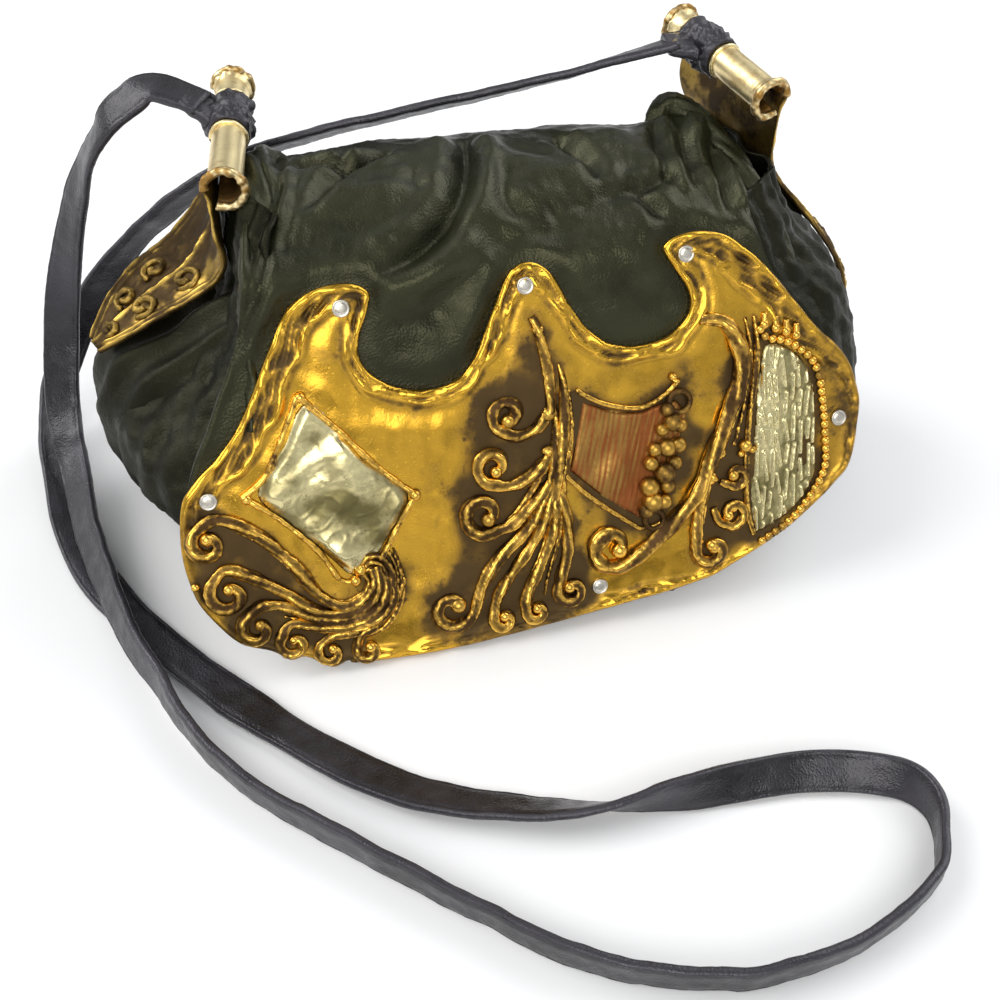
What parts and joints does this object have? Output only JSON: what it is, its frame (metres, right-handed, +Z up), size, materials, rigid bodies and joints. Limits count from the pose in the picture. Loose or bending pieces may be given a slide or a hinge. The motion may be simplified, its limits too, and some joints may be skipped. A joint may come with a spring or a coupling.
{
  "type": "leather flap handbag with a metal front plate",
  "caption": "Soft leather flap handbag with a riveted brass plate of scrolls, silver and copper inlays, brass side strips rolled into tubes, and a narrow shoulder strap.",
  "frame": {"origin": "on the pouch's flat bottom, level with the surface that the bag stands on, midway along the bag's length", "axes": "+X to the right seen from the front plate's side, +Y towards the back of the bag, +Z up"},
  "size_m": [0.3423, 0.3292, 0.1709],
  "materials": {
    "black_leather": "soft black leather with a fine grain and a dull sheen",
    "strap_leather": "charcoal strap leather, worn along its edges",
    "brass": "polished gold-coloured brass, dark brown in its recesses",
    "silver": "hammered and fused silver with a yellow cast",
    "copper": "reddish brown brushed copper",
    "rivet_metal": "bright round rivet heads"
  },
  "bodies": {
    "root": {"leather_body": "black_leather", "leather_flap": "black_leather", "brass_plate": "brass", "silver_diamond": "silver", "silver_half_moon": "silver", "copper_panel": "copper", "rivet_1": "rivet_metal", "rivet_2": "rivet_metal", "rivet_3": "rivet_metal", "rivet_4": "rivet_metal", "rivet_5": "rivet_metal", "rivet_6": "rivet_metal", "side_strip_left": "brass", "side_strip_right": "brass", "strap_loop_left": "strap_leather", "strap_loop_right": "strap_leather", "shoulder_strap": "strap_leather"}
  },
  "joints": []
}
